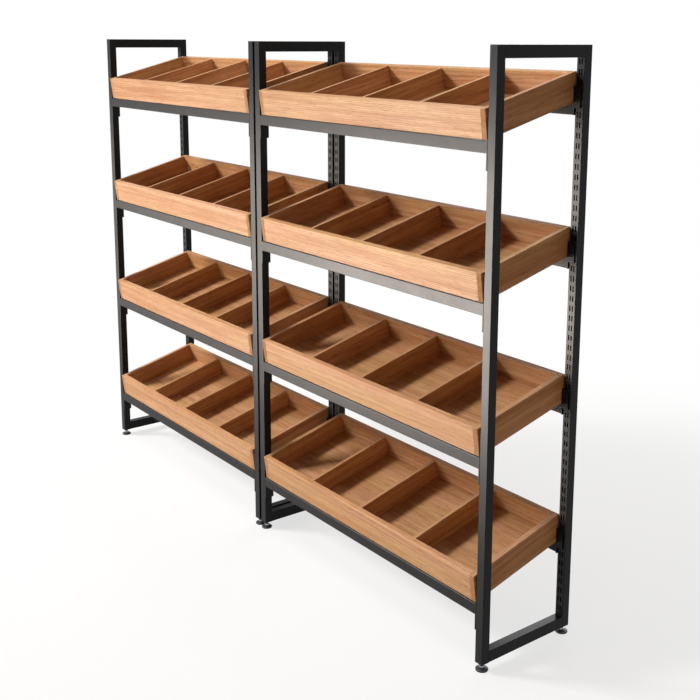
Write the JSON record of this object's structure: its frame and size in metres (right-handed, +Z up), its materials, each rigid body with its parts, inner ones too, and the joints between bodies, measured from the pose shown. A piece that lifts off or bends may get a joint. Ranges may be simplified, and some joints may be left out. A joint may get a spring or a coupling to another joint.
{
  "type": "bakery bread rack",
  "caption": "Bakery bread rack with side-by-side black steel bays, slotted posts, hook-in rails and tilted oak trays with dividers, standing on levelling feet",
  "frame": {"origin": "on the floor under the middle of the rack", "axes": "+X to the right along the row seen from the front, +Y to the back, +Z up; the shopper stands at -Y"},
  "size_m": [2.037, 0.3194, 1.51],
  "materials": {
    "black_powder_coat": "satin powder coat",
    "oiled_oak": "clear oiled oak boards",
    "foot_black": "black moulded glide with zinc-plated stem"
  },
  "bodies": {
    "rack": {"bay_1_left_front_post": "black_powder_coat", "bay_1_left_rear_post": "black_powder_coat", "bay_1_left_cross_bars": "black_powder_coat", "bay_1_right_front_post": "black_powder_coat", "bay_1_right_rear_post": "black_powder_coat", "bay_1_right_cross_bars": "black_powder_coat", "bay_1_shelf_1_front_rail": "black_powder_coat", "bay_1_shelf_1_rear_beam": "black_powder_coat", "bay_1_shelf_2_front_rail": "black_powder_coat", "bay_1_shelf_2_rear_beam": "black_powder_coat", "bay_1_shelf_3_front_rail": "black_powder_coat", "bay_1_shelf_3_rear_beam": "black_powder_coat", "bay_1_shelf_4_front_rail": "black_powder_coat", "bay_1_shelf_4_rear_beam": "black_powder_coat", "bay_2_left_front_post": "black_powder_coat", "bay_2_left_rear_post": "black_powder_coat", "bay_2_left_cross_bars": "black_powder_coat", "bay_2_right_front_post": "black_powder_coat", "bay_2_right_rear_post": "black_powder_coat", "bay_2_right_cross_bars": "black_powder_coat", "bay_2_shelf_1_front_rail": "black_powder_coat", "bay_2_shelf_1_rear_beam": "black_powder_coat", "bay_2_shelf_2_front_rail": "black_powder_coat", "bay_2_shelf_2_rear_beam": "black_powder_coat", "bay_2_shelf_3_front_rail": "black_powder_coat", "bay_2_shelf_3_rear_beam": "black_powder_coat", "bay_2_shelf_4_front_rail": "black_powder_coat", "bay_2_shelf_4_rear_beam": "black_powder_coat"},
    "bay_1_left_front_foot": {"bay_1_left_front_foot": "foot_black"},
    "bay_1_left_rear_foot": {"bay_1_left_rear_foot": "foot_black"},
    "bay_1_right_front_foot": {"bay_1_right_front_foot": "foot_black"},
    "bay_1_right_rear_foot": {"bay_1_right_rear_foot": "foot_black"},
    "bay_1_shelf_1_tray": {"bay_1_shelf_1_tray_walls": "oiled_oak", "bay_1_shelf_1_tray_base": "oiled_oak", "bay_1_shelf_1_tray_dividers": "oiled_oak"},
    "bay_1_shelf_2_tray": {"bay_1_shelf_2_tray_walls": "oiled_oak", "bay_1_shelf_2_tray_base": "oiled_oak", "bay_1_shelf_2_tray_dividers": "oiled_oak"},
    "bay_1_shelf_3_tray": {"bay_1_shelf_3_tray_walls": "oiled_oak", "bay_1_shelf_3_tray_base": "oiled_oak", "bay_1_shelf_3_tray_dividers": "oiled_oak"},
    "bay_1_shelf_4_tray": {"bay_1_shelf_4_tray_walls": "oiled_oak", "bay_1_shelf_4_tray_base": "oiled_oak", "bay_1_shelf_4_tray_dividers": "oiled_oak"},
    "bay_2_left_front_foot": {"bay_2_left_front_foot": "foot_black"},
    "bay_2_left_rear_foot": {"bay_2_left_rear_foot": "foot_black"},
    "bay_2_right_front_foot": {"bay_2_right_front_foot": "foot_black"},
    "bay_2_right_rear_foot": {"bay_2_right_rear_foot": "foot_black"},
    "bay_2_shelf_1_tray": {"bay_2_shelf_1_tray_walls": "oiled_oak", "bay_2_shelf_1_tray_base": "oiled_oak", "bay_2_shelf_1_tray_dividers": "oiled_oak"},
    "bay_2_shelf_2_tray": {"bay_2_shelf_2_tray_walls": "oiled_oak", "bay_2_shelf_2_tray_base": "oiled_oak", "bay_2_shelf_2_tray_dividers": "oiled_oak"},
    "bay_2_shelf_3_tray": {"bay_2_shelf_3_tray_walls": "oiled_oak", "bay_2_shelf_3_tray_base": "oiled_oak", "bay_2_shelf_3_tray_dividers": "oiled_oak"},
    "bay_2_shelf_4_tray": {"bay_2_shelf_4_tray_walls": "oiled_oak", "bay_2_shelf_4_tray_base": "oiled_oak", "bay_2_shelf_4_tray_dividers": "oiled_oak"}
  },
  "joints": [
    {"name": "bay_1_left_front_foot_screw_lift", "type": "slide", "parent": "rack", "child": "bay_1_left_front_foot", "axis": [0, 0, 1], "range_m": [-0.015, 0.005]},
    {"name": "bay_1_left_rear_foot_screw_lift", "type": "slide", "parent": "rack", "child": "bay_1_left_rear_foot", "axis": [0, 0, 1], "range_m": [-0.015, 0.005]},
    {"name": "bay_1_right_front_foot_screw_lift", "type": "slide", "parent": "rack", "child": "bay_1_right_front_foot", "axis": [0, 0, 1], "range_m": [-0.015, 0.005]},
    {"name": "bay_1_right_rear_foot_screw_lift", "type": "slide", "parent": "rack", "child": "bay_1_right_rear_foot", "axis": [0, 0, 1], "range_m": [-0.015, 0.005]},
    {"name": "bay_1_shelf_1_tray_pull_out", "type": "slide", "parent": "rack", "child": "bay_1_shelf_1_tray", "axis": [0, -1, 0], "range_m": [0, 0.33]},
    {"name": "bay_1_shelf_2_tray_pull_out", "type": "slide", "parent": "rack", "child": "bay_1_shelf_2_tray", "axis": [0, -1, 0], "range_m": [0, 0.33]},
    {"name": "bay_1_shelf_3_tray_pull_out", "type": "slide", "parent": "rack", "child": "bay_1_shelf_3_tray", "axis": [0, -1, 0], "range_m": [0, 0.33]},
    {"name": "bay_1_shelf_4_tray_pull_out", "type": "slide", "parent": "rack", "child": "bay_1_shelf_4_tray", "axis": [0, -1, 0], "range_m": [0, 0.33]},
    {"name": "bay_2_left_front_foot_screw_lift", "type": "slide", "parent": "rack", "child": "bay_2_left_front_foot", "axis": [0, 0, 1], "range_m": [-0.015, 0.005]},
    {"name": "bay_2_left_rear_foot_screw_lift", "type": "slide", "parent": "rack", "child": "bay_2_left_rear_foot", "axis": [0, 0, 1], "range_m": [-0.015, 0.005]},
    {"name": "bay_2_right_front_foot_screw_lift", "type": "slide", "parent": "rack", "child": "bay_2_right_front_foot", "axis": [0, 0, 1], "range_m": [-0.015, 0.005]},
    {"name": "bay_2_right_rear_foot_screw_lift", "type": "slide", "parent": "rack", "child": "bay_2_right_rear_foot", "axis": [0, 0, 1], "range_m": [-0.015, 0.005]},
    {"name": "bay_2_shelf_1_tray_pull_out", "type": "slide", "parent": "rack", "child": "bay_2_shelf_1_tray", "axis": [0, -1, 0], "range_m": [0, 0.33]},
    {"name": "bay_2_shelf_2_tray_pull_out", "type": "slide", "parent": "rack", "child": "bay_2_shelf_2_tray", "axis": [0, -1, 0], "range_m": [0, 0.33]},
    {"name": "bay_2_shelf_3_tray_pull_out", "type": "slide", "parent": "rack", "child": "bay_2_shelf_3_tray", "axis": [0, -1, 0], "range_m": [0, 0.33]},
    {"name": "bay_2_shelf_4_tray_pull_out", "type": "slide", "parent": "rack", "child": "bay_2_shelf_4_tray", "axis": [0, -1, 0], "range_m": [0, 0.33]}
  ]
}
